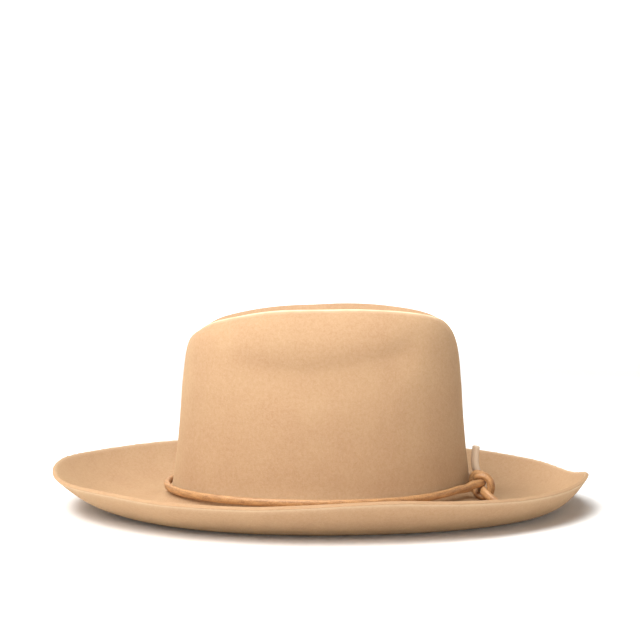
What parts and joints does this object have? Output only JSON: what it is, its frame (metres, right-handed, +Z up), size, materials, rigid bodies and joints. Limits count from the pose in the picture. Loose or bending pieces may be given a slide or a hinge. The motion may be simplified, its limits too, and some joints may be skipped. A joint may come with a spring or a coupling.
{
  "type": "felt western hat with leather lace",
  "caption": "Soft camel felt hat with a creased crown, two ridges, side dents and a wide curled brim, and a leather lace knotted round the crown's base.",
  "frame": {"origin": "on the surface that the hat rests on, under the middle of the brim", "axes": "+Z up, +Y towards the back of the hat, +X towards the wearer's left side"},
  "size_m": [0.3196, 0.3747, 0.1406],
  "materials": {
    "felt": "matt wool felt with a short brushed nap",
    "lace": "satin oiled leather"
  },
  "bodies": {
    "root": {"felt_body": "felt", "hat_lace": "lace"}
  },
  "joints": []
}
